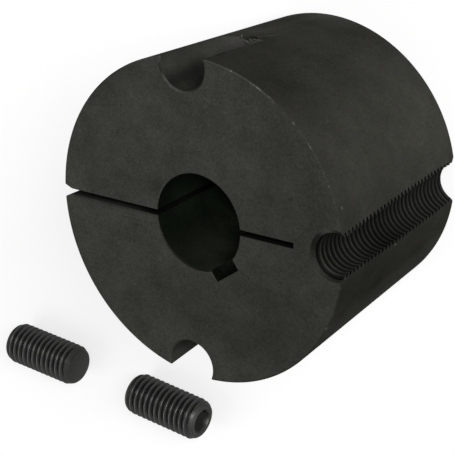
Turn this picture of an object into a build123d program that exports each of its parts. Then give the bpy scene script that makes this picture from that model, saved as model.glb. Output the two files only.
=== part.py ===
from build123d import *
import math
import os

# Taper bush with its two set screws, in millimetres. The bush stands on its small end:
# the origin is the bore's axis on the small end face, +Z runs up to the large end face,
# and +X runs from the bore towards the half hole of the jacking screw. The screws lie
# beside the bush, on the same ground.

os.makedirs("parts", exist_ok=True)

# Bush body: a cone frustum with a straight bore
bush_length = 76.2
large_diameter = 107.95
taper_half_angle = 4.0
rim_chamfer = 0.6
bore_diameter = 32.0
bore_chamfer = 0.4

# Keyway in the bore's wall
keyway_width = 10.0
keyway_depth = 3.3
keyway_angle = -55.0

# Saw cuts: the split goes right through one wall, the slot stops short of the other
split_angle = 180.0
split_width = 1.9
flare_width = 4.6
flare_depth = 3.2
slot_width = 1.9
slot_reach = 36.0

# Half holes for the screws, on one circle just inside the large rim
hole_circle_diameter = 101.6
jack_angle = 0.0
tapping_diameter = 12.92
jack_countersink_diameter = 17.0
clamp_angle = 95.0
clamp_hole_clearance = 0.4
clamp_hole_depth = 32.0
clamp_countersink = 0.6

# Set screws: coarse thread, flat point, hexagon socket
screw_diameter = 15.875
screw_length = 31.75
screw_face_diameter = 12.6
screw_chamfer_length = 2.5
socket_width = 8.0
socket_depth = 9.0
socket_mouth_diameter = 9.6
drill_point_angle = 120.0
socket_turn = 12.0

# Where each loose screw lies: the middle of its length, and the way its point looks
screw_rests = {
    "set_screw_1": ((-68.1, -112.3), 173.2),
    "set_screw_2": ((-127.0, -105.8), -5.3),
}

bore_radius = bore_diameter / 2
large_radius = large_diameter / 2
small_radius = large_radius - bush_length * math.tan(math.radians(taper_half_angle))
hole_circle_radius = hole_circle_diameter / 2
tapping_radius = tapping_diameter / 2
jack_countersink_depth = (jack_countersink_diameter - tapping_diameter) / 2
screw_radius = screw_diameter / 2
clamp_hole_radius = screw_radius + clamp_hole_clearance
cone_rise = math.tan(math.radians(90 - drill_point_angle / 2))
overshoot = 5.0

small_face = Plane.XY
large_face = Plane.XY.offset(bush_length)


# The bush, turned and bored, then broached, drilled, tapped and sawn
with BuildPart() as bush:
    # Half section of the turned blank, chamfered at both rims and both ends of the bore
    with BuildSketch(Plane.XZ) as half_section:
        with BuildLine() as section_edge:
            Polyline(
                (bore_radius, 0),
                (small_radius, 0),
                (large_radius, bush_length),
                (bore_radius, bush_length),
                close=True,
            )
        make_face()
        chamfer(half_section.vertices().sort_by(Axis.X)[2:], rim_chamfer)
        chamfer(half_section.vertices().sort_by(Axis.X)[:2], bore_chamfer)
    revolve(axis=Axis.Z)

    # Keyway: flat floor and square corners, the whole length of the bore
    with BuildSketch(small_face.rotated((0, 0, keyway_angle))) as keyway_section:
        Rectangle(bore_radius + keyway_depth, keyway_width, align=(Align.MIN, Align.CENTER))
    extrude(amount=bush_length, mode=Mode.SUBTRACT)

    # Slot from the bore part of the way to the jacking half hole
    with BuildSketch(small_face.rotated((0, 0, jack_angle))) as slot_section:
        Rectangle(slot_reach, slot_width, align=(Align.MIN, Align.CENTER))
    extrude(amount=bush_length, mode=Mode.SUBTRACT)

    # Split through the opposite wall
    with BuildSketch(small_face.rotated((0, 0, split_angle))) as split_section:
        Rectangle(large_radius + overshoot, split_width, align=(Align.MIN, Align.CENTER))
    extrude(amount=bush_length, mode=Mode.SUBTRACT)

    # Flare of the split's outer edges, which follows the taper
    for face, rim_radius in ((small_face, small_radius), (large_face, large_radius)):
        with BuildSketch(face.rotated((0, 0, split_angle))) as flare_section:
            with BuildLine():
                Polyline(
                    (rim_radius - flare_depth, split_width / 2),
                    (rim_radius - flare_depth, -split_width / 2),
                    (rim_radius, -flare_width / 2),
                    (rim_radius + overshoot, -flare_width / 2),
                    (rim_radius + overshoot, flare_width / 2),
                    (rim_radius, flare_width / 2),
                    close=True,
                )
            make_face()
    loft(mode=Mode.SUBTRACT)

    # Half hole of the jacking screw, the whole length, countersunk at both ends
    with BuildSketch(large_face) as jack_section:
        with PolarLocations(hole_circle_radius, 1, start_angle=jack_angle):
            Circle(tapping_radius)
    extrude(amount=-bush_length, mode=Mode.SUBTRACT)
    for face, inward in ((small_face, 1), (large_face, -1)):
        with BuildSketch(face) as countersink_section:
            with PolarLocations(hole_circle_radius, 1, start_angle=jack_angle):
                Circle(jack_countersink_diameter / 2)
        extrude(amount=inward * jack_countersink_depth, taper=45, mode=Mode.SUBTRACT)

    # Half holes of the clamping screws, each with a flat shoulder for the screw's point
    for angle in (clamp_angle, -clamp_angle):
        with BuildSketch(large_face) as clamp_section:
            with PolarLocations(hole_circle_radius, 1, start_angle=angle):
                Circle(clamp_hole_radius)
        extrude(amount=-clamp_hole_depth, mode=Mode.SUBTRACT)
        with BuildSketch(large_face) as clamp_mouth_section:
            with PolarLocations(hole_circle_radius, 1, start_angle=angle):
                Circle(clamp_hole_radius + clamp_countersink)
        extrude(amount=-clamp_countersink, taper=45, mode=Mode.SUBTRACT)
bush.part.label = "bush"
export_step(bush.part, "parts/bush.step")


# The set screws, alike, each lying on its thread's crests
for node, (middle, heading) in screw_rests.items():
    # Local X runs along the screw from its socket to its point
    lying = Plane(origin=(*middle, screw_radius)).rotated((0, 0, heading))
    screw_axis = Axis(lying.origin, lying.x_dir)
    socket_end = -screw_length / 2
    point_end = screw_length / 2
    with BuildPart() as set_screw:
        # Shank, with a chamfer down to a flat face at each end
        with BuildSketch(lying) as shank_section:
            with BuildLine() as shank_edge:
                Polyline(
                    (socket_end, 0),
                    (socket_end, screw_face_diameter / 2),
                    (socket_end + screw_chamfer_length, screw_radius),
                    (point_end - screw_chamfer_length, screw_radius),
                    (point_end, screw_face_diameter / 2),
                    (point_end, 0),
                    close=True,
                )
            make_face()
        revolve(axis=screw_axis)

        # Hexagon socket
        socket_face = Plane(lying.from_local_coords((socket_end, 0, 0)), z_dir=-lying.x_dir)
        with BuildSketch(socket_face) as socket_section:
            RegularPolygon(socket_width / 2, 6, major_radius=False, rotation=socket_turn)
        extrude(amount=-socket_depth, mode=Mode.SUBTRACT)

        # Countersink of the socket's mouth, and the drill's cone at its bottom
        socket_bottom = socket_end + socket_depth
        with BuildSketch(lying) as socket_cones:
            for base, radius in ((socket_end, socket_mouth_diameter / 2), (socket_bottom, socket_width / 2)):
                with BuildLine():
                    Polyline((base, 0), (base, radius), (base + radius * cone_rise, 0), close=True)
                make_face()
        revolve(axis=screw_axis, mode=Mode.SUBTRACT)
    set_screw.part.label = node
    export_step(set_screw.part, f"parts/{node}.step")
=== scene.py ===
import math
import random
import bmesh
import bpy
from mathutils import Matrix, Vector


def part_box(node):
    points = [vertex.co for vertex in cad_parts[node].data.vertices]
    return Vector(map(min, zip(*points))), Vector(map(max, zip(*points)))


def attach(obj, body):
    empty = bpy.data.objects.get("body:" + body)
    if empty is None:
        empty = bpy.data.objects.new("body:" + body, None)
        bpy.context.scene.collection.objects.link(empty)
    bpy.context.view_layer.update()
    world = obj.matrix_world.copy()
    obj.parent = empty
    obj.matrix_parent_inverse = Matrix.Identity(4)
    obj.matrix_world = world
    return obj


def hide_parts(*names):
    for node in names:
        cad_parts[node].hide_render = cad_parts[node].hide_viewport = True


# The looks of the taper bush and its two set screws. Metres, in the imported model's frame:
# the bush's bore is on the Z axis, its small end face is at z = 0, and the half hole of the
# jacking screw is on +X.

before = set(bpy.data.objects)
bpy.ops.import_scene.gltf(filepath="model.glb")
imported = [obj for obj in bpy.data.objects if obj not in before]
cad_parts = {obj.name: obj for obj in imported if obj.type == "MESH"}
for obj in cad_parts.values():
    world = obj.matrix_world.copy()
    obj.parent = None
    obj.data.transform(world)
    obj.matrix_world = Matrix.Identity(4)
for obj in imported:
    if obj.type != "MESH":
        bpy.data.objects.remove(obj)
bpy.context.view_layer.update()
MM = 0.001

# Bush: the solid's sizes, but for a finer chamfer round both rims
bush_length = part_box("bush")[1].z
large_radius = 53.975 * MM
taper = math.tan(math.radians(4.0))
small_radius = large_radius - bush_length * taper
rim_chamfer = 0.37 * MM
bore_radius = 16.0 * MM
bore_chamfer = 0.4 * MM
keyway_width = 10.0 * MM
keyway_reach = bore_radius + 3.3 * MM
keyway_angle = -55.0
saw_width = 1.9 * MM
slot_angle = 0.0
slot_reach = 36.0 * MM
split_angle = 180.0
flare_width = 4.6 * MM
flare_depth = 3.2 * MM
clamp_angle = 95.0
clamp_hole_depth = 32.0 * MM
clamp_countersink = 0.6 * MM
jack_countersink_radius = 8.5 * MM
hole_circle_radius = 50.8 * MM
hole_place = Matrix.Translation((hole_circle_radius, 0, 0))

# Broken edges of the keyway and the saw cuts at both end faces
edge_break = 0.16 * MM

# Thread of the screws and of the jacking hole: 11 turns to the inch, 55 degree flanks. A rod
# starts out with a few turns to spare, so that no end of its spiral is left in the piece
thread_pitch = 25.4 / 11 * MM
thread_flank = math.radians(27.5)
thread_rounding = 0.137329 * thread_pitch
thread_depth = 0.640327 * thread_pitch
spare_turns = 3

# The tap's turns begin below the small end, and its lead leaves the thread shallower there
tap_start = -1.6 * MM
lead_radius = 6.9 * MM
lead_length = 15.6 * MM

# Set screws, and the way each one's point looks
screw_radius = 7.9375 * MM
screw_length = 31.75 * MM
screw_face_radius = 6.3 * MM
screw_chamfer_length = 2.5 * MM
screw_end_reach = 0.8 * screw_chamfer_length
socket_width = 8.0 * MM
socket_depth = 9.0 * MM
socket_mouth_radius = 4.8 * MM
socket_turn = 12.0
drill_point_angle = 120.0
clamp_hole_radius = screw_radius + 0.4 * MM
headings = {"set_screw_1": 173.2, "set_screw_2": -5.3}

# The rounded edge of a screw's end: how far out from its flat face, and how far in from its end
screw_rounding = ((-0.25 * MM, 0.0), (0.3 * MM, 0.18 * MM), (0.75 * MM, 0.65 * MM))

# Chips out of the edges of one clamping hole, each as its middle and radii in millimetres, and its seed
chips = (
    ((-1.6, 51.6, 43.5), (3.0, 1.0, 1.6), 3),
    ((-0.2, 51.9, 42.6), (1.2, 0.5, 1.2), 4),
    ((3.3, 53.4, 71.0), (0.5, 0.4, 1.1), 5),
    ((3.5, 53.1, 66.5), (0.6, 0.45, 1.4), 8),
    ((3.5, 52.9, 63.0), (0.4, 0.35, 0.8), 9),
    ((3.7, 52.6, 59.5), (0.45, 0.35, 0.9), 12),
)

# Burrs, given like the chips: four at the same hole's shoulder, two on the jacking hole's edge
burrs = (
    ((-4.6, 51.3, 44.0), (0.22, 0.9, 0.35), 21),
    ((-2.7, 49.9, 44.2), (0.8, 0.7, 0.25), 22),
    ((-1.2, 50.9, 44.2), (0.9, 0.5, 0.35), 25),
    ((0.4, 51.3, 44.2), (0.8, 0.35, 0.3), 26),
    ((52.95, -7.5, 73.6), (0.45, 0.35, 0.6), 23),
    ((51.0, -8.25, 41.5), (0.5, 0.4, 0.5), 24),
)

# How far a cutting shape reaches past what it cuts, how near a face lies to its surface, the
# least angle of an edge that stays sharp, and how many sides the round shapes have
overshoot = 4 * MM
near = 0.02 * MM
sharp_angle = math.radians(32)
body_segments = 480
drill_segments = 192
tap_segments = 128
screw_segments = 96

# Grain of the blackened surfaces: clouds ten grains wide and fine specks, mixed into one noise
# that picks the tone between dark and light, and varies the gloss
cloud_scale = 0.1
cloud_noise = {"Detail": 6.0, "Roughness": 0.62}
grain_noise = {"Detail": 3.0, "Roughness": 0.7}
grain_share = 0.55
tone_range = (0.36, 0.66)
gloss_range = (0.3, 0.7)
gloss_change = 0.08
relief_height = 0.03 * MM
coat_roughness = 0.25
edge_tint = (0.25, 0.25, 0.25, 1)
speck_noise = {"Detail": 2.0, "Roughness": 0.6}
speck_edge = 0.08


# ---------------------------------------------------------------- materials

def node_tree(material):
    """An empty node tree, and a function that adds a node to it."""
    material.use_nodes = True
    tree = material.node_tree
    tree.nodes.clear()

    def add(kind, **settings):
        node = tree.nodes.new("ShaderNode" + kind)
        for name, value in settings.items():
            if name in node.inputs:
                node.inputs[name].default_value = value
            else:
                setattr(node, name, value)
        return node

    return tree, add


def ranged(add, link, value, low, high, first, last, curve="SMOOTHSTEP"):
    """A share that runs from first to last while the value runs from low to high."""
    ends = {"From Min": low, "From Max": high, "To Min": first, "To Max": last}
    share = add("MapRange", interpolation_type=curve, **ends)
    link(value, share.inputs["Value"])
    return share.outputs["Result"]


def product(add, link, shares):
    """The product of several shares."""
    total = shares[0]
    for share in shares[1:]:
        times = add("Math", operation="MULTIPLY")
        link(total, times.inputs[0])
        link(share, times.inputs[1])
        total = times.outputs[0]
    return total


def away_from(add, link, place, middle):
    """How far a place is from a middle given in millimetres."""
    away = add("VectorMath", operation="DISTANCE")
    link(place, away.inputs[0])
    away.inputs[1].default_value = Vector(middle) * MM
    return away.outputs["Value"]


def by_axis(axis, low, high, low_share, high_share):
    """A share that runs from low_share to high_share between two places along an axis."""

    def build(add, link, place):
        split = add("SeparateXYZ")
        link(place, split.inputs["Vector"])
        return ranged(add, link, split.outputs[axis], low, high, low_share, high_share)

    return build


def by_tint(axis, low, high, low_tint, high_tint):
    """A tint that runs from low_tint to high_tint between two places along an axis."""

    def build(add, link, place):
        tint = add("ValToRGB")
        tint.color_ramp.elements[0].color = (*low_tint, 1)
        tint.color_ramp.elements[1].color = (*high_tint, 1)
        link(by_axis(axis, low, high, 0.0, 1.0)(add, link, place), tint.inputs["Fac"])
        return tint.outputs["Color"]

    return build


def by_light_and_shade_patches(*patches):
    """Soft round patches of painted light and shade, each as its middle and radius in millimetres, and its
    share.
    """

    def build(add, link, place):
        shares = []
        for middle, radius, level in patches:
            away = away_from(add, link, place, middle)
            shares.append(ranged(add, link, away, 0.0, radius * MM, level, 1.0))
        return product(add, link, shares)

    return build


def by_rings(*rings):
    """Small scuffed rings, each as its middle, radius and line width in millimetres, and its share."""

    def build(add, link, place):
        shares = []
        for middle, radius, width, level in rings:
            outside = add("Math", operation="SUBTRACT")
            link(away_from(add, link, place, middle), outside.inputs[0])
            outside.inputs[1].default_value = radius * MM
            off_line = add("Math", operation="ABSOLUTE")
            link(outside.outputs[0], off_line.inputs[0])
            shares.append(ranged(add, link, off_line.outputs[0], 0.0, width * MM, level, 1.0))
        return product(add, link, shares)

    return build


def by_scratches_and_painted_bands(*scratches):
    """Straight scratches, and bands of painted light and shade, each as its two ends and width in
    millimetres, and its share.
    """

    def build(add, link, place):
        shares = []
        for first, last, width, level in scratches:
            first = Vector(first) * MM
            along = Vector(last) * MM - first
            reach = add("VectorMath", operation="SUBTRACT")
            link(place, reach.inputs[0])
            reach.inputs[1].default_value = first
            run = add("VectorMath", operation="DOT_PRODUCT")
            link(reach.outputs["Vector"], run.inputs[0])
            run.inputs[1].default_value = along / along.length_squared
            kept = add("Clamp")
            link(run.outputs["Value"], kept.inputs["Value"])
            foot = add("VectorMath", operation="SCALE")
            foot.inputs[0].default_value = along
            link(kept.outputs["Result"], foot.inputs["Scale"])
            away = add("VectorMath", operation="DISTANCE")
            link(reach.outputs["Vector"], away.inputs[0])
            link(foot.outputs["Vector"], away.inputs[1])
            shares.append(ranged(add, link, away.outputs["Value"], 0.0, width * MM, level, 1.0))
        return product(add, link, shares)

    return build


def by_thread(*stops):
    """A share that follows the fall below the thread's crest, as (fall, share) stops."""

    def build(add, link, place):
        fall = add("Attribute", attribute_name="fall")
        ramp = add("ValToRGB")
        points = ramp.color_ramp.elements
        while len(points) < len(stops):
            points.new(0.5)
        for point, (position, share) in zip(points, stops):
            point.position = position
            point.color = (share, share, share, 1)
        link(fall.outputs["Fac"], ramp.inputs["Fac"])
        return ramp.outputs["Color"]

    return build


def by_specks(spacing, few, level):
    """A share that is level in specks and 1 between them: fewer specks, the nearer few is to 1."""

    def build(add, link, place):
        noise = add("TexNoise", Scale=1.0 / spacing, **speck_noise)
        link(place, noise.inputs["Vector"])
        return ranged(add, link, noise.outputs["Fac"], few, few + speck_edge, 1.0, level, "LINEAR")

    return build


def blackened(name, dark, light, roughness, grain, metallic=0.25, coat=0.0, shares=()):
    """Blackened metal: two tones mottled by grain (in metres), with fine relief and uneven gloss.

    Each of shares scales the tone: along an axis, by the thread's depth, or in patches, rings, scratches,
    bands or specks, and many of them paint light and shade."""
    material = bpy.data.materials.new(name)
    tree, add = node_tree(material)
    link = tree.links.new
    place = add("TexCoord").outputs["Object"]

    clouds = add("TexNoise", Scale=cloud_scale / grain, **cloud_noise)
    specks = add("TexNoise", Scale=1.0 / grain, **grain_noise)
    for noise in (clouds, specks):
        link(place, noise.inputs["Vector"])
    blend = add("Mix", data_type="FLOAT")
    blend.inputs["Factor"].default_value = grain_share
    link(clouds.outputs["Fac"], blend.inputs["A"])
    link(specks.outputs["Fac"], blend.inputs["B"])
    tone = add("ValToRGB")
    for stop, position, shade in zip(tone.color_ramp.elements, tone_range, (dark, light)):
        stop.position = position
        stop.color = (*shade, 1)
    link(blend.outputs["Result"], tone.inputs["Fac"])
    colour = tone.outputs["Color"]
    for build in shares:
        scaled = add("VectorMath", operation="MULTIPLY")
        link(colour, scaled.inputs[0])
        link(build(add, link, place), scaled.inputs[1])
        colour = scaled.outputs["Vector"]

    rough = roughness + gloss_change
    smooth = roughness - gloss_change
    gloss = ranged(add, link, blend.outputs["Result"], *gloss_range, rough, smooth, "LINEAR")

    relief = add("Bump", Strength=1.0, Distance=relief_height)
    link(specks.outputs["Fac"], relief.inputs["Height"])

    shader = add("BsdfPrincipled", Metallic=metallic)
    shader.inputs["Specular IOR Level"].default_value = 0.0
    shader.inputs["Coat Weight"].default_value = coat
    shader.inputs["Coat Roughness"].default_value = coat_roughness
    shader.inputs["Specular Tint"].default_value = edge_tint
    link(colour, shader.inputs["Base Color"])
    link(gloss, shader.inputs["Roughness"])
    link(relief.outputs["Normal"], shader.inputs["Normal"])
    output = add("OutputMaterial")
    link(shader.outputs["BSDF"], output.inputs["Surface"])
    return material


# The materials, many with painted light and shade. Patches, rings, scratches and bands are placed in the
# model's frame, in millimetres. A share above 1 makes the tone lighter, and one below 1 darker.
grey_dark = (0.026, 0.0265, 0.0228)
grey_light = (0.044, 0.045, 0.039)

# The end faces, the large one scuffed and scratched, with patches of painted light and shade and a line of
# painted shade beside the split, and the flare and the broken edges
face_black = blackened(
    "face_black", grey_dark, grey_light, 0.6, 0.8 * MM,
    shares=[
        by_specks(1.5 * MM, 0.69, 1.6),
        by_specks(1.3 * MM, 0.65, 0.72),
        # Patches of painted light and shade: lighter towards -X, darker towards +X and -Y
        by_light_and_shade_patches(
            ((30, -30, 76.2), 34, 0.7),
            ((-17, -23, 76.2), 10, 0.74),
            ((3, -20, 76.2), 9, 0.84),
            ((10, -38, 76.2), 14, 0.87),
            ((-28, -32, 76.2), 14, 0.88),
            ((-41, -20, 76.2), 20, 1.05),
            ((-50, 3, 76.2), 8, 1.25),
            ((48, 14, 76.2), 11, 0.75),
            ((43, -5, 76.2), 12, 0.83),
            ((-4, -31, 76.2), 17, 0.8),
            ((33, 8, 76.2), 20, 0.8),
            ((32, 32, 76.2), 20, 0.86),
            ((-16.4, 8.5, 76.2), 5, 0.78),
            ((-18, 30, 76.2), 22, 1.06),
        ),
        by_rings(
            ((4.2, 40.4, 76.2), 1.3, 0.25, 1.25),
            ((19.0, 43.4, 76.2), 1.6, 0.25, 1.2),
            ((12.2, 43.1, 76.2), 0.8, 0.3, 1.25),
            ((23.0, 30.4, 76.2), 0.9, 0.3, 1.2),
        ),
        by_scratches_and_painted_bands(
            ((-38.5, -3.9, 76.2), (-16.4, -3.1, 76.2), 0.3, 1.22),
            ((-30.5, -4.4, 76.2), (-16.4, -3.9, 76.2), 0.35, 0.82),
            # A line of painted shade beside the split
            ((-50, -1.3, 76.2), (-16.2, -1.3, 76.2), 0.5, 0.7),
            ((-25.5, 39.5, 76.2), (-24.0, 37.0, 76.2), 0.3, 1.4),
            ((-12.6, 25.0, 76.2), (-10.8, 23.6, 76.2), 0.3, 1.3),
            ((-13.3, 49.9, 76.2), (-12.0, 46.2, 76.2), 0.35, 0.3),
        ),
    ],
)

# The tapered outside, a little darker towards -Y as painted shade, with patches of painted light,
# reflection and shade
taper_black = blackened(
    "taper_black", (0.0275, 0.0275, 0.0235), (0.044, 0.0432, 0.0375), 0.5, 0.8 * MM,
    shares=[
        by_axis("Y", -12 * MM, 2 * MM, 0.9, 1.0),
        by_specks(1.6 * MM, 0.69, 1.35),
        by_specks(1.4 * MM, 0.64, 0.75),
        # Patches of painted light, reflection and shade
        by_light_and_shade_patches(
            ((42, 25, 15), 42, 1.25),
            ((47.5, 24, 55), 18, 1.12),
            ((44, 21, 5), 24, 1.15),
            ((5, 50, 25), 22, 1.35),
            ((-8, 50.5, 35), 16, 1.25),
            ((3, 48.6, 0), 18, 2.0),
            ((27, 46, 67), 24, 0.66),
            ((30, 41.5, 35), 20, 0.83),
            ((51, -14, 58), 22, 0.78),
            ((51, -12, 76), 12, 0.78),
            ((47, -19, 44), 14, 0.84),
            ((46, -15, 0), 24, 1.3),
            ((46.5, 27, 76), 12, 0.92),
            ((52.6, 11, 72), 12, 0.72),
            ((51.5, 10.5, 48), 12, 0.85),
            ((51.7, 14.85, 73.2), 0.9, 2.6),
        ),
        by_scratches_and_painted_bands(
            ((0.2, 51.6, 42.0), (3.2, 51.0, 34.9), 0.5, 1.9),
            ((2.6, 53.7, 74.0), (3.9, 52.5, 56.0), 0.5, 0.7),
        ),
    ],
)

# The chamfer round the large rim, rubbed bright in specks, and lighter towards +Y and darker elsewhere as
# painted light and shade
rim_wear_and_sheen = blackened(
    "rim_wear_and_sheen", grey_dark, grey_light, 0.5, 0.8 * MM,
    # Specks of wear, and a painted highlight towards +Y
    shares=[by_specks(2.5 * MM, 0.6, 2.2), by_axis("Y", 42 * MM, 49 * MM, 0.62, 1.35)],
)

# The countersinks of the clamping holes, darker and lighter in patches as painted shade and light
mouth_lit_and_shaded = blackened(
    "mouth_lit_and_shaded", grey_dark, grey_light, 0.55, 0.6 * MM, metallic=0.2,
    shares=[by_light_and_shade_patches(((-12.9, 47.7, 76), 4, 0.4), ((-7, 42.5, 76), 8, 1.4))],
)

# The chamfer of the bore at the large end, darker towards -Y and lighter towards +Y as painted shade and
# light
lip_black = blackened(
    "lip_black", grey_dark, grey_light, 0.55, 0.6 * MM,
    shares=[by_axis("Y", -13 * MM, 10 * MM, 0.36, 1.3)],
)

# The bore, dark as painted shade, with a green cast that ends towards -Y, lighter towards +X and in patches
# deeper in, and darker towards -X, as painted light and shade
bore_black = blackened(
    "bore_black", (0.0112, 0.0170, 0.0105), (0.0209, 0.0308, 0.0193), 0.5, 0.6 * MM,
    shares=[
        by_tint("Y", -12 * MM, -6 * MM, (1.0, 0.77, 0.87), (0.82, 0.82, 0.82)),
        by_axis("X", -16 * MM, 16 * MM, 0.35, 2.4),
        by_light_and_shade_patches(
            ((-9.5, -12.5, 37), 18, 3.0),
            ((-9, -13, 46), 24, 2.4),
            ((-4, -15.3, 56), 9, 1.6),
            ((-3, -15.7, 73), 8, 0.7),
            ((-14.5, 8, 56), 18, 3.4),
            ((-11, -12, 38), 10, 1.6),
            ((-15.8, -3, 45), 9, 2.4),
        ),
    ],
)

# The keyway
keyway_black = blackened(
    "keyway_black", (0.0078, 0.0098, 0.0066), (0.0175, 0.0212, 0.0148), 0.6, 1.2 * MM,
    shares=[by_axis("Z", 65 * MM, 69.5 * MM, 2.4, 0.7), by_axis("Z", 69.5 * MM, 73 * MM, 1.0, 0.45)],
)

# The slot
slot_black = blackened("slot_black", (0.004, 0.0045, 0.0035), (0.009, 0.010, 0.008), 0.6, 0.5 * MM)

# The walls of the split, dark as painted shade, lighter towards the outside and darker in patches by the
# bore, as painted light and shade
saw_black = blackened(
    "saw_black", (0.009, 0.010, 0.008), (0.018, 0.019, 0.016), 0.6, 0.5 * MM,
    shares=[
        by_axis("X", -34 * MM, -18 * MM, 2.2, 1.0),
        by_axis("Z", 60 * MM, 72 * MM, 1.1, 1.0),
        by_light_and_shade_patches(((-16.5, -1, 73.5), 6, 0.5), ((-17, 0, 66), 9, 0.4), ((-17, 0, 72), 9, 0.5)),
    ],
)

# The walls of the clamping holes, lighter towards the shoulder and darker towards the mouth, with patches
# and a broad dark band, all painted light and shade
drill_black = blackened(
    "drill_black", grey_dark, grey_light, 0.5, 0.6 * MM,
    shares=[
        by_axis("Z", bush_length - clamp_hole_depth, bush_length, 1.5, 0.85),
        by_light_and_shade_patches(((-12.8, 50.6, 72), 9, 1.4), ((-4, 42.5, 58), 12, 0.8), ((-4, -50, 70), 14, 1.4)),
        # A broad band of painted shade down the wall
        by_scratches_and_painted_bands(((-9.8, 44.2, 76.0), (-9.8, 44.2, 57.0), 5.5, 0.46)),
    ],
)

# The shoulders of the clamping holes, painted lighter than the faces as painted light
shoulder_painted_light = blackened("shoulder_painted_light", (0.055, 0.054, 0.049), (0.094, 0.092, 0.085), 0.5, 0.9 * MM)

# The countersinks of the jacking hole, lighter and darker in patches as painted light and shade
sink_black = blackened(
    "sink_black", (0.011, 0.0112, 0.0092), (0.020, 0.0205, 0.0175), 0.55, 0.6 * MM,
    shares=[by_light_and_shade_patches(((48.5, 7.8, 76), 4.5, 4.0), ((43.5, 2.5, 76), 4, 0.6), ((46, -7, 76), 7, 1.35))],
)

# The thread of the jacking hole, with painted light on its crests and painted shade in its roots, and
# painted light and shade towards -Y and in patches
thread_black = blackened(
    "thread_black", grey_dark, grey_light, 0.5, 0.5 * MM,
    shares=[
        by_thread((0.0, 0.64), (0.12, 0.48), (0.3, 0.22), (0.55, 0.11), (1.0, 0.07)),
        by_axis("Y", -6.5 * MM, -3.5 * MM, 1.35, 1.0),
        by_light_and_shade_patches(
            ((46, 6, 74), 10, 0.65),
            ((51, -6, 44), 20, 0.6),
            ((46, -3, 76), 7, 1.3),
            ((47, -7, 75), 7, 1.5),
            ((46, -4, 69), 9, 0.8),
        ),
    ],
)

# Burrs and chips
burr_bright = blackened("burr_bright", (0.042, 0.041, 0.037), (0.08, 0.078, 0.072), 0.5, 0.4 * MM)
chip_black = blackened("chip_black", (0.010, 0.010, 0.008), (0.03, 0.029, 0.025), 0.6, 0.4 * MM)

# The screws' threads, with painted highlights on their crests and painted shade below them
screw_black = blackened(
    "screw_black", (0.036, 0.036, 0.0345), (0.052, 0.052, 0.050), 0.3, 0.5 * MM, metallic=0.6,
    coat=0.4,
    shares=[by_thread((0.0, 1.36), (0.07, 0.98), (0.2, 0.52), (0.6, 0.47), (1.0, 0.56))],
)

# The screws' ends, with painted highlights in patches and scuffed rings round one socket
end_black = blackened(
    "end_black", (0.024, 0.024, 0.0218), (0.038, 0.038, 0.035), 0.5, 0.8 * MM, coat=0.3,
    shares=[
        by_light_and_shade_patches(
            ((-83.9, -110.4, 10), 9, 3.0),
            ((-142.8, -104.3, 10), 9, 2.4),
            ((-52.8, -110.0, 13.5), 5.5, 2.0),
        ),
        by_rings(
            ((-52.34, -114.18, 7.94), 6.7, 0.3, 1.35),
            ((-52.34, -114.18, 7.94), 7.5, 0.3, 1.45),
        ),
    ],
)

# The sockets, with a painted highlight inside one of them
socket_black = blackened(
    "socket_black", (0.034, 0.034, 0.032), (0.055, 0.055, 0.051), 0.4, 0.4 * MM, metallic=0.3,
    shares=[by_light_and_shade_patches(((-52.65, -116.6, 4.2), 2.4, 4.0))],
)

# ---------------------------------------------------------------- shapes and cuts

def add_object(name, data):
    """An object with its data, in the scene."""
    made = bpy.data.objects.new(name, data)
    bpy.context.scene.collection.objects.link(made)
    return made


def make_piece(name, points, faces, material):
    """A closed mesh from its points and faces, with its faces turned outwards."""
    mesh = bpy.data.meshes.new(name)
    mesh.from_pydata(points, [], faces)
    mesh.materials.append(material)
    work = bmesh.new()
    work.from_mesh(mesh)
    bmesh.ops.recalc_face_normals(work, faces=work.faces)
    work.to_mesh(mesh)
    work.free()
    return add_object(name, mesh)


def lathe(name, outline, material, segments):
    """Turns a closed outline of (radius, height) about the Z axis."""
    points = []
    rings = []
    for radius, height in outline:
        if radius == 0:
            rings.append([len(points)] * segments)
            points.append((0, 0, height))
            continue
        rings.append([len(points) + i for i in range(segments)])
        for i in range(segments):
            angle = math.tau * i / segments
            points.append((radius * math.cos(angle), radius * math.sin(angle), height))
    faces = []
    for here, there in zip(rings, rings[1:] + rings[:1]):
        for i in range(segments):
            j = (i + 1) % segments
            corners = dict.fromkeys((here[i], here[j], there[j], there[i]))
            if len(corners) > 2:
                faces.append(tuple(corners))
    return make_piece(name, points, faces, material)


def wedge(name, low_outline, high_outline, low, high, material):
    """Joins an outline of (x, y) points at height low to one with as many points at height high."""
    count = len(low_outline)
    points = [(x, y, low) for x, y in low_outline] + [(x, y, high) for x, y in high_outline]
    faces = [tuple(range(count)), tuple(range(count, 2 * count))]
    for i in range(count):
        j = (i + 1) % count
        faces.append((i, j, count + j, count + i))
    return make_piece(name, points, faces, material)


def thread_profile():
    """One pitch of the rounded thread, as (share of the pitch, fall below the crest)."""
    arc_steps = (-1.0, -0.5, 0.0, 0.5, 1.0)
    profile = []
    for step in arc_steps:
        angle = step * (math.pi / 2 - thread_flank)
        profile.append((thread_rounding * math.sin(angle), thread_rounding * (1 - math.cos(angle))))
    for step in arc_steps:
        angle = step * (math.pi / 2 - thread_flank)
        across = thread_pitch / 2 + thread_rounding * math.sin(angle)
        profile.append((across, thread_depth - thread_rounding * (1 - math.cos(angle))))
    return [(across / thread_pitch, fall) for across, fall in profile]


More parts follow.
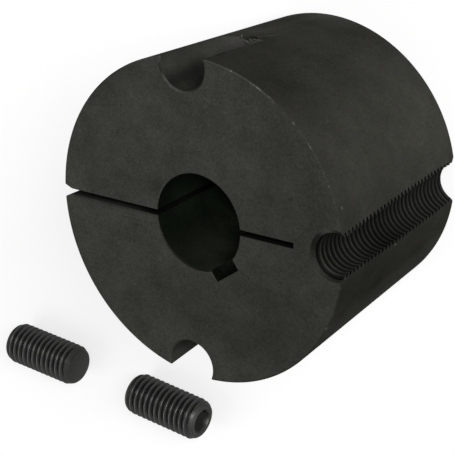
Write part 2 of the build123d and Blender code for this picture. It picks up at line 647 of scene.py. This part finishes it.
def threaded_rod(name, low, high, material, segments, lead=0.0):
    """A right-hand threaded rod about Z, reaching at least from low to high.

    Over the lead above low, its crests are cut down towards the lead's radius."""
    profile = thread_profile()
    per_turn = len(profile)
    turns = math.ceil((high - low) / thread_pitch) + spare_turns
    rows = per_turn * turns
    points = []
    for i in range(segments):
        angle = math.tau * i / segments
        for row in range(rows):
            turn, step = divmod(row, per_turn)
            share, fall = profile[step]
            height = low + (turn - spare_turns / 2 + share + i / segments) * thread_pitch
            radius = screw_radius - fall
            if lead and height < low + lead:
                rise = max(height - low, 0) / lead
                radius = min(radius, lead_radius + (screw_radius - lead_radius) * rise)
            points.append((radius * math.cos(angle), radius * math.sin(angle), height))
    faces = []
    for i in range(segments - 1):
        for row in range(rows - 1):
            here = i * rows + row
            faces.append((here, here + rows, here + rows + 1, here + 1))
    # The last column meets the first one turn further up
    last = (segments - 1) * rows
    for row in range(rows - per_turn - 1):
        faces.append((last + row, row + per_turn, row + per_turn + 1, last + row + 1))
    # Each end is a fan over one turn of the spiral and the step between its ends, with its tip
    # beyond all the turns
    top = rows - 1
    low_edge = [i * rows for i in range(segments)] + list(range(per_turn, 0, -1))
    high_edge = [i * rows + top for i in range(segments)] + [last + top - n for n in range(1, per_turn + 1)]
    low_tip = low - (spare_turns + 1) * thread_pitch
    high_tip = high + (spare_turns + 2) * thread_pitch
    for edge, height in ((low_edge, low_tip), (high_edge, high_tip)):
        tip = len(points)
        points.append((0, 0, height))
        for here, there in zip(edge, edge[1:] + edge[:1]):
            faces.append((here, there, tip))
    return make_piece(name, points, faces, material)


def blob(name, middle, radii, seed, material):
    """A rough lump, given by its middle and radii in millimetres."""
    mesh = bmesh.new()
    bmesh.ops.create_icosphere(mesh, subdivisions=2, radius=1.0)
    rough = random.Random(seed)
    points = []
    for vertex in mesh.verts:
        swell = rough.uniform(0.75, 1.15)
        points.append([(m + c * r * swell) * MM for m, c, r in zip(middle, vertex.co, radii)])
    faces = [[vertex.index for vertex in face.verts] for face in mesh.faces]
    mesh.free()
    return make_piece(name, points, faces, material)


def moved(piece, matrix):
    """Moves a piece's own points, so that its object stays at the origin."""
    piece.data.transform(matrix)
    return piece


def turned(degrees):
    """A turn about the Z axis."""
    return Matrix.Rotation(math.radians(degrees), 4, "Z")


def combine(piece, other, operation="DIFFERENCE"):
    """Cuts a piece with another, or joins or intersects the two, and uses the other up."""
    change = piece.modifiers.new("change", "BOOLEAN")
    change.operation = operation
    change.solver = "EXACT"
    change.material_mode = "TRANSFER"
    change.object = other
    graph = bpy.context.evaluated_depsgraph_get()
    mesh = bpy.data.meshes.new_from_object(piece.evaluated_get(graph))
    piece.modifiers.clear()
    piece.data = mesh
    bpy.data.objects.remove(other)


def note_falls(piece, across=0.0, inward=True):
    """Keeps each point's fall below the thread's crest, as a share of its depth.

    The crest of an inward thread is nearer the axis, which stands at x = across."""
    falls = piece.data.attributes.new("fall", "FLOAT", "POINT")
    for point, fall in zip(piece.data.vertices, falls.data):
        radius = math.hypot(point.co.x - across, point.co.y)
        share = (radius - screw_radius + thread_depth) / thread_depth
        fall.value = min(max(share if inward else 1.0 - share, 0.0), 1.0)


def smooth_by_angle(piece):
    """Shades a piece smoothly, but for its sharp edges."""
    piece.data.shade_smooth()
    piece.data.set_sharp_from_angle(angle=sharp_angle)


# ---------------------------------------------------------------- bush

def cut_slits(bush):
    """The keyway, slot and split, each with its edges broken at both end faces."""
    for angle, reach, width, finish in (
        (keyway_angle, keyway_reach, keyway_width, keyway_black),
        (slot_angle, slot_reach, saw_width, slot_black),
        (split_angle, large_radius + overshoot, saw_width, saw_black),
    ):
        half = width / 2
        outline = [(0, -half), (reach, -half), (reach, half), (0, half)]
        cut = wedge("cut", outline, outline, -overshoot, bush_length + overshoot, finish)
        combine(bush, moved(cut, turned(angle)))
        wide = half + 2 * edge_break
        long = reach + 2 * edge_break
        broad = [(0, -wide), (long, -wide), (long, wide), (0, wide)]
        for inner, outer in (
            (edge_break, -edge_break),
            (bush_length - edge_break, bush_length + edge_break),
        ):
            cut = wedge("break", outline, broad, inner, outer, face_black)
            combine(bush, moved(cut, turned(angle)))


def cut_flare(bush):
    """The flare of the split's outer edges, which follows the taper."""
    outside = large_radius + 2 * overshoot
    outlines = []
    for rim in (small_radius - overshoot * taper, large_radius + overshoot * taper):
        outlines.append(
            [
                (rim - flare_depth, saw_width / 2),
                (rim - flare_depth, -saw_width / 2),
                (rim, -flare_width / 2),
                (outside, -flare_width / 2),
                (outside, flare_width / 2),
                (rim, flare_width / 2),
            ]
        )
    flare = wedge("flare", *outlines, -overshoot, bush_length + overshoot, face_black)
    combine(bush, moved(flare, turned(split_angle)))


def tap_jack_hole(bush):
    """The jacking screw's half hole, threaded and countersunk at both ends."""
    tap = threaded_rod("tap", tap_start, bush_length, thread_black, tap_segments, lead_length)
    combine(bush, moved(tap, hole_place))
    for base, inward in ((0.0, 1), (bush_length, -1)):
        outside = base - inward * overshoot
        cone = [
            (0, outside),
            (jack_countersink_radius + overshoot, outside),
            (0, base + inward * jack_countersink_radius),
        ]
        sink = lathe("countersink", cone, sink_black, drill_segments)
        combine(bush, moved(sink, hole_place))


def drill_clamp_holes(bush):
    """The clamping screws' plain half holes, each with a flat shoulder."""
    shoulder = bush_length - clamp_hole_depth
    mouth = clamp_hole_radius + clamp_countersink
    outline = [
        (0, shoulder),
        (clamp_hole_radius, shoulder),
        (clamp_hole_radius, bush_length - clamp_countersink),
        (mouth, bush_length),
        (mouth + overshoot, bush_length + overshoot),
        (0, bush_length + overshoot),
    ]
    for angle in (clamp_angle, -clamp_angle):
        drill = lathe("drill", outline, drill_black, drill_segments)
        combine(bush, moved(drill, turned(angle) @ hole_place))


def finish_faces(bush):
    """Gives the turned surfaces, the lips and the shoulders their own finishes."""
    for finish in (taper_black, rim_wear_and_sheen, lip_black, bore_black, mouth_lit_and_shaded, shoulder_painted_light):
        bush.data.materials.append(finish)
    slot_of = {finish.name: i for i, finish in enumerate(bush.data.materials)}
    for face in bush.data.polygons:
        x, y, z = face.center
        out = math.hypot(x, y)
        upright = abs(face.normal.z) < 0.1
        drilled = face.material_index == slot_of["drill_black"]
        if upright and abs(out - small_radius - z * taper) < near:
            face.material_index = slot_of["taper_black"]
        elif out > large_radius - 2 * rim_chamfer and z > bush_length - rim_chamfer:
            face.material_index = slot_of["rim_wear_and_sheen"]
        elif out < bore_radius + bore_chamfer - near and z > bush_length - bore_chamfer:
            face.material_index = slot_of["lip_black"]
        elif upright and abs(out - bore_radius) < near:
            face.material_index = slot_of["bore_black"]
        elif drilled and z > bush_length - clamp_countersink:
            face.material_index = slot_of["mouth_lit_and_shaded"]
        elif drilled and face.normal.z > 0.9:
            face.material_index = slot_of["shoulder_painted_light"]


def make_bush():
    """The bush: turned, then cut, tapped and drilled, with its wear and finishes."""
    outline = [
        (bore_radius, bore_chamfer),
        (bore_radius + bore_chamfer, 0),
        (small_radius - rim_chamfer, 0),
        (small_radius + rim_chamfer * taper, rim_chamfer),
        (large_radius - rim_chamfer * taper, bush_length - rim_chamfer),
        (large_radius - rim_chamfer, bush_length),
        (bore_radius + bore_chamfer, bush_length),
        (bore_radius, bush_length - bore_chamfer),
    ]
    bush = lathe("bush_body", outline, face_black, body_segments)
    cut_slits(bush)
    cut_flare(bush)
    tap_jack_hole(bush)
    drill_clamp_holes(bush)
    for middle, radii, seed in chips:
        combine(bush, blob("chip", middle, radii, seed, chip_black))
    for middle, radii, seed in burrs:
        combine(bush, blob("burr", middle, radii, seed, burr_bright), "UNION")
    finish_faces(bush)
    note_falls(bush, hole_circle_radius)
    smooth_by_angle(bush)
    return bush


# ---------------------------------------------------------------- set screws

def cut_socket(screw):
    """The hexagon socket of an upright screw, with its mouth's flare and the drill's cone."""
    corner_radius = socket_width / 2 / math.cos(math.radians(30))
    hexagon = []
    for side in range(6):
        angle = math.radians(60 * side + socket_turn)
        hexagon.append((corner_radius * math.cos(angle), corner_radius * math.sin(angle)))
    bottom = screw_length - socket_depth
    socket = wedge("socket", hexagon, hexagon, bottom, screw_length + overshoot, socket_black)
    combine(screw, socket)
    cone_rise = math.tan(math.radians(90 - drill_point_angle / 2))
    for base, radius, past in (
        (screw_length, socket_mouth_radius, overshoot),
        (bottom, socket_width / 2, 0.0),
    ):
        cone = [(0, base + past), (radius + past / cone_rise, base + past), (0, base - radius * cone_rise)]
        combine(screw, lathe("cone", cone, socket_black, screw_segments))


def make_screw(node):
    """A set screw, made upright with its socket up, then laid where the solid lies."""
    screw = threaded_rod(node + "_threaded", 0.0, screw_length, screw_black, screw_segments)
    end = [(screw_face_radius + out, height) for out, height in screw_rounding]
    end.append((screw_radius, screw_chamfer_length))
    end.append((screw_radius + overshoot, screw_chamfer_length + overshoot))
    other_end = [(radius, screw_length - height) for radius, height in reversed(end)]
    outline = [(0, 0), *end, *other_end, (0, screw_length)]
    combine(screw, lathe("envelope", outline, screw_black, drill_segments), "INTERSECT")
    cut_socket(screw)
    note_falls(screw, inward=False)

    # The finish of both flat ends and their rounded edges
    screw.data.materials.append(end_black)
    end_slot = len(screw.data.materials) - 1
    for face in screw.data.polygons:
        from_end = min(face.center.z, screw_length - face.center.z)
        if face.material_index == 0 and abs(face.normal.z) > 0.3 and from_end < screw_end_reach:
            face.material_index = end_slot

    # From upright to lying: local +Z, the socket's way, turns to local -X
    low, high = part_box(node)
    middle = (low + high) / 2
    lay = Matrix.Translation(Vector((middle.x, middle.y, screw_radius)))
    lay = lay @ turned(headings[node]) @ Matrix.Rotation(math.radians(-90), 4, "Y")
    moved(screw, lay @ Matrix.Translation((0, 0, -screw_length / 2)))
    smooth_by_angle(screw)
    return screw


dressed = {"bush": make_bush()}
for node in headings:
    dressed[node] = make_screw(node)
for node, piece in dressed.items():
    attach(piece, "root")
    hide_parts(node)


# ---------------------------------------------------------------- camera, floor and light

camera_aim = Vector((-16.341, -18.243, 38.1)) * MM
camera_heading = 34.346
camera_elevation = 48.432
camera_roll = 118.481
camera_distance = 686.694 * MM
camera_lens = 162.477
camera_clip_start = 0.01

floor_half_width = 3.0
floor_grey = 0.32
floor_glow = 0.72
world_strength = 0.3


def direction(heading, elevation):
    """The direction at a heading from +X and an elevation, both in degrees."""
    heading = math.radians(heading)
    elevation = math.radians(elevation)
    across = math.cos(elevation)
    return Vector((math.cos(heading) * across, math.sin(heading) * across, math.sin(elevation)))


def place_camera():
    """The camera, which looks back at its aim from its distance."""
    back = direction(camera_heading, camera_elevation)
    camera = add_object("camera", bpy.data.cameras.new("camera"))
    camera.data.lens = camera_lens
    camera.data.clip_start = camera_clip_start
    camera.rotation_mode = "QUATERNION"
    roll = Matrix.Rotation(math.radians(-camera_roll), 3, "Z").to_quaternion()
    camera.rotation_quaternion = (-back).to_track_quat("-Z", "Y") @ roll
    camera.location = camera_aim + back * camera_distance
    bpy.context.scene.camera = camera


def seen_directly(add, link):
    """A socket that is 1 for camera, glossy and transmission rays."""
    path = add("LightPath")
    first = add("Math", operation="MAXIMUM")
    link(path.outputs["Is Camera Ray"], first.inputs[0])
    link(path.outputs["Is Glossy Ray"], first.inputs[1])
    second = add("Math", operation="MAXIMUM")
    link(first.outputs["Value"], second.inputs[0])
    link(path.outputs["Is Transmission Ray"], second.inputs[1])
    return second.outputs["Value"]


def make_floor():
    """A pale floor: part of its white is its own, so that it shows white and keeps a soft shadow."""
    material = bpy.data.materials.new("floor_white")
    tree, add = node_tree(material)
    matt = add("BsdfDiffuse", Color=(floor_grey, floor_grey, floor_grey, 1))
    glow = add("Emission", Color=(1, 1, 1, 1))
    share = add("Math", operation="MULTIPLY")
    share.inputs[1].default_value = floor_glow
    tree.links.new(seen_directly(add, tree.links.new), share.inputs[0])
    tree.links.new(share.outputs["Value"], glow.inputs["Strength"])
    both = add("AddShader")
    tree.links.new(matt.outputs["BSDF"], both.inputs[0])
    tree.links.new(glow.outputs["Emission"], both.inputs[1])
    output = add("OutputMaterial")
    tree.links.new(both.outputs["Shader"], output.inputs["Surface"])
    half = floor_half_width
    corners = [(-half, -half, 0), (half, -half, 0), (half, half, 0), (-half, half, 0)]
    mesh = bpy.data.meshes.new("floor")
    mesh.from_pydata(corners, [], [(0, 1, 2, 3)])
    mesh.materials.append(material)
    floor = add_object("floor", mesh)


def make_world():
    """A soft grey studio, which the camera and the gloss see as white."""
    world = bpy.data.worlds.new("studio")
    bpy.context.scene.world = world
    tree, add = node_tree(world)
    plain = add("Background", Color=(1, 1, 1, 1), Strength=world_strength)
    white = add("Background", Color=(1, 1, 1, 1), Strength=1.0)
    pick = add("MixShader")
    tree.links.new(seen_directly(add, tree.links.new), pick.inputs["Fac"])
    tree.links.new(plain.outputs["Background"], pick.inputs[1])
    tree.links.new(white.outputs["Background"], pick.inputs[2])
    output = add("OutputWorld")
    tree.links.new(pick.outputs["Shader"], output.inputs["Surface"])


def softbox(name, heading, elevation, distance, size, level):
    """A square light that looks at the middle of the bush.

    At level 1 a surface facing it renders as written."""
    back = direction(heading, elevation)
    light = bpy.data.lights.new(name, "AREA")
    light.size = size
    light.energy = level * (math.pi * distance) ** 2
    lamp = add_object(name, light)
    lamp.location = Vector((0, 0, bush_length / 2)) + back * distance
    lamp.rotation_mode = "QUATERNION"
    lamp.rotation_quaternion = (-back).to_track_quat("-Z", "Y")


place_camera()
make_floor()
make_world()
softbox("key", heading=32, elevation=35, distance=1.2, size=0.6, level=1.1)
softbox("fill", heading=215, elevation=40, distance=1.2, size=0.8, level=0.3)
bpy.context.scene.view_settings.view_transform = "Standard"
